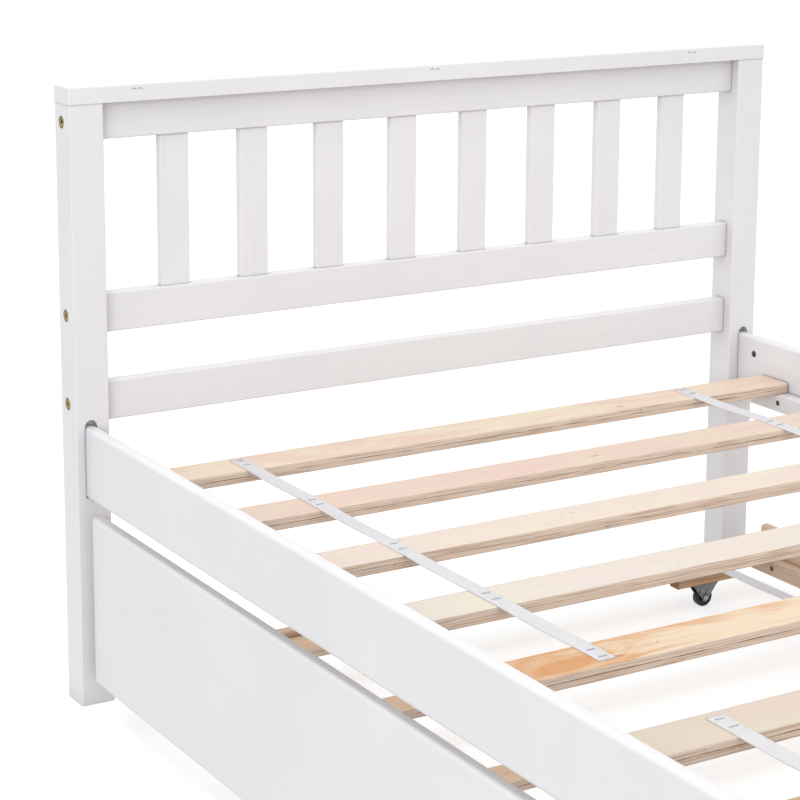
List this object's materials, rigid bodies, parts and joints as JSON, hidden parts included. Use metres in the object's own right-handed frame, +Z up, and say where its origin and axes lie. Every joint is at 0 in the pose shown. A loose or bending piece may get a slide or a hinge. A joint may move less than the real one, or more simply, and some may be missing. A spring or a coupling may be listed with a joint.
{
  "type": "trundle bed",
  "caption": "White painted wooden single bed with slatted headboard, low footboard and a deck of cross slats, over a pull-out trundle on small fixed casters.",
  "frame": {"origin": "on the floor, under the middle of the bed", "axes": "+Y along the bed to the headboard, +X across it, to the right for someone who looks at the headboard from the foot, +Z up; the trundle pulls out towards -X"},
  "size_m": [1.082, 1.972, 0.792],
  "materials": {
    "white_paint": "white satin paint over solid wood, edges softened",
    "slat_veneer": "bare laminated veneer lumber, plies showing on the edges",
    "bare_wood": "bare sawn and planed softwood",
    "beech": "bare beech dowel",
    "webbing": "white woven webbing",
    "yellow_zinc": "yellow zinc plate, satin",
    "zinc": "bright zinc plate",
    "caster_steel": "grey zinc plate, dull",
    "black_plastic": "black moulded plastic, semi-gloss"
  },
  "bodies": {
    "bed": {"barrel_nuts": "zinc", "bed_ledger_left": "white_paint", "bed_ledger_right": "white_paint", "bed_ledger_screws": "zinc", "bed_slat_01": "slat_veneer", "bed_slat_02": "slat_veneer", "bed_slat_03": "slat_veneer", "bed_slat_04": "slat_veneer", "bed_slat_05": "slat_veneer", "bed_slat_06": "slat_veneer", "bed_slat_07": "slat_veneer", "bed_slat_08": "slat_veneer", "bed_slat_09": "slat_veneer", "bed_slat_10": "slat_veneer", "bed_slat_straps": "webbing", "bed_strap_staples": "zinc", "foot_cap": "white_paint", "foot_lower_rail": "white_paint", "foot_post_left": "white_paint", "foot_post_right": "white_paint", "foot_top_rail": "white_paint", "frame_bolts": "yellow_zinc", "frame_dowels": "beech", "head_cap": "white_paint", "head_lower_rail": "white_paint", "head_middle_rail": "white_paint", "head_post_left": "white_paint", "head_post_right": "white_paint", "head_slat_1": "white_paint", "head_slat_2": "white_paint", "head_slat_3": "white_paint", "head_slat_4": "white_paint", "head_slat_5": "white_paint", "head_slat_6": "white_paint", "head_slat_7": "white_paint", "head_slat_8": "white_paint", "head_top_rail": "white_paint", "side_rail_left": "white_paint", "side_rail_right": "white_paint"},
    "trundle": {"caster_axles": "zinc", "caster_blocks": "bare_wood", "caster_brackets": "caster_steel", "trundle_angle_brackets": "zinc", "trundle_back_rail": "bare_wood", "trundle_end_board_foot": "bare_wood", "trundle_end_board_head": "bare_wood", "trundle_front_panel": "white_paint", "trundle_ledger_back": "bare_wood", "trundle_ledger_front": "bare_wood", "trundle_screws": "zinc", "trundle_slat_straps": "webbing", "trundle_slats_foot": "slat_veneer", "trundle_slats_head": "slat_veneer", "trundle_small_screws": "zinc", "trundle_strap_staples": "zinc"},
    "wheel_foot_left": {"caster_wheel_foot_left": "black_plastic"},
    "wheel_foot_right": {"caster_wheel_foot_right": "black_plastic"},
    "wheel_head_left": {"caster_wheel_head_left": "black_plastic"},
    "wheel_head_right": {"caster_wheel_head_right": "black_plastic"}
  },
  "joints": [
    {"name": "trundle_slide", "type": "slide", "parent": "bed", "child": "trundle", "axis": [-1, 0, 0], "range_m": [0, 1.06]},
    {"name": "wheel_foot_left_spin", "type": "hinge", "parent": "trundle", "child": "wheel_foot_left", "pos_m": [-0.377, -0.838, 0.014], "axis": [0, -1, 0], "continuous": true},
    {"name": "wheel_foot_right_spin", "type": "hinge", "parent": "trundle", "child": "wheel_foot_right", "pos_m": [0.377, -0.838, 0.014], "axis": [0, -1, 0], "continuous": true},
    {"name": "wheel_head_left_spin", "type": "hinge", "parent": "trundle", "child": "wheel_head_left", "pos_m": [-0.377, 0.838, 0.014], "axis": [0, -1, 0], "continuous": true},
    {"name": "wheel_head_right_spin", "type": "hinge", "parent": "trundle", "child": "wheel_head_right", "pos_m": [0.377, 0.838, 0.014], "axis": [0, -1, 0], "continuous": true}
  ]
}
